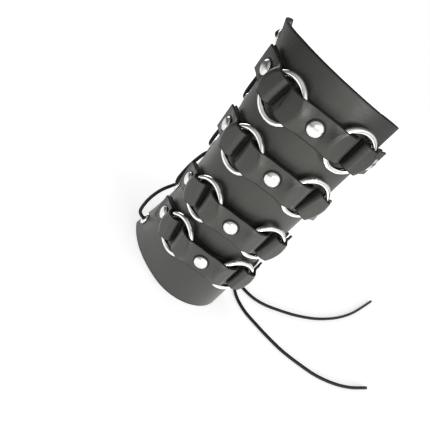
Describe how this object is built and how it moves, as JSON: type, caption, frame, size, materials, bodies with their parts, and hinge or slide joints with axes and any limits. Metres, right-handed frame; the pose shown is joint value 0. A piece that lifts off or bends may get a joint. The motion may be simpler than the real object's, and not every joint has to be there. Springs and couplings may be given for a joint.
{
  "type": "laced forearm gauntlet",
  "caption": "Laced leather forearm gauntlet: a curved panel with riveted bands of straps and O-rings in front, open and cross-laced at the back.",
  "frame": {"origin": "middle of the front wall's thickness at the wrist rim, on the centre line of the bands", "axes": "+Z runs from the wrist rim up to the elbow rim, the front with the bands faces -Y, and +X is to the right of someone who faces the front"},
  "size_m": [0.2931, 0.2467, 0.2107],
  "materials": {
    "panel_leather": "thick black leather with a soft satin sheen and a faint grain",
    "strap_leather": "black strap leather with a soft satin sheen and dark cut edges",
    "ring_chrome": "polished chrome-plated welded wire",
    "rivet_nickel": "bright nickel-plated caps, slightly mottled",
    "eyelet_nickel": "bright nickel-plated rolled metal",
    "lace_cord": "matt black round lace"
  },
  "bodies": {
    "gauntlet": {"panel": "panel_leather", "centre_strap_1": "strap_leather", "centre_strap_2": "strap_leather", "centre_strap_3": "strap_leather", "centre_strap_4": "strap_leather", "left_end_strap_1": "strap_leather", "left_end_strap_2": "strap_leather", "left_end_strap_3": "strap_leather", "left_end_strap_4": "strap_leather", "right_end_strap_1": "strap_leather", "right_end_strap_2": "strap_leather", "right_end_strap_3": "strap_leather", "right_end_strap_4": "strap_leather", "centre_rivets": "rivet_nickel", "left_end_rivets": "rivet_nickel", "right_end_rivets": "rivet_nickel", "left_eyelets": "eyelet_nickel", "right_eyelets": "eyelet_nickel", "back_lacing": "lace_cord", "lace_end_a": "lace_cord", "lace_end_b": "lace_cord"},
    "left_o_ring_1": {"left_o_ring_1": "ring_chrome"},
    "right_o_ring_1": {"right_o_ring_1": "ring_chrome"},
    "left_o_ring_2": {"left_o_ring_2": "ring_chrome"},
    "right_o_ring_2": {"right_o_ring_2": "ring_chrome"},
    "left_o_ring_3": {"left_o_ring_3": "ring_chrome"},
    "right_o_ring_3": {"right_o_ring_3": "ring_chrome"},
    "left_o_ring_4": {"left_o_ring_4": "ring_chrome"},
    "right_o_ring_4": {"right_o_ring_4": "ring_chrome"}
  },
  "joints": [
    {"name": "left_o_ring_1_turn", "type": "hinge", "parent": "gauntlet", "child": "left_o_ring_1", "pos_m": [-0.02592, -0.01208, 0.17561], "axis": [-0.4817, -0.8731, -0.0759], "continuous": true},
    {"name": "right_o_ring_1_turn", "type": "hinge", "parent": "gauntlet", "child": "right_o_ring_1", "pos_m": [0.02592, -0.01208, 0.17561], "axis": [0.4817, -0.8731, -0.0759], "continuous": true},
    {"name": "left_o_ring_2_turn", "type": "hinge", "parent": "gauntlet", "child": "left_o_ring_2", "pos_m": [-0.02589, -0.00845, 0.13411], "axis": [-0.5112, -0.8561, -0.0759], "continuous": true},
    {"name": "right_o_ring_2_turn", "type": "hinge", "parent": "gauntlet", "child": "right_o_ring_2", "pos_m": [0.02589, -0.00845, 0.13411], "axis": [0.5112, -0.8561, -0.0759], "continuous": true},
    {"name": "left_o_ring_3_turn", "type": "hinge", "parent": "gauntlet", "child": "left_o_ring_3", "pos_m": [-0.02583, -0.0043, 0.08741], "axis": [-0.5487, -0.8326, -0.0759], "continuous": true},
    {"name": "right_o_ring_3_turn", "type": "hinge", "parent": "gauntlet", "child": "right_o_ring_3", "pos_m": [0.02583, -0.0043, 0.08741], "axis": [0.5487, -0.8326, -0.0759], "continuous": true},
    {"name": "left_o_ring_4_turn", "type": "hinge", "parent": "gauntlet", "child": "left_o_ring_4", "pos_m": [-0.02573, -0.0008, 0.04871], "axis": [-0.5754, -0.8144, -0.075], "continuous": true},
    {"name": "right_o_ring_4_turn", "type": "hinge", "parent": "gauntlet", "child": "right_o_ring_4", "pos_m": [0.02576, -0.00077, 0.04871], "axis": [0.5838, -0.8083, -0.0759], "continuous": true}
  ]
}
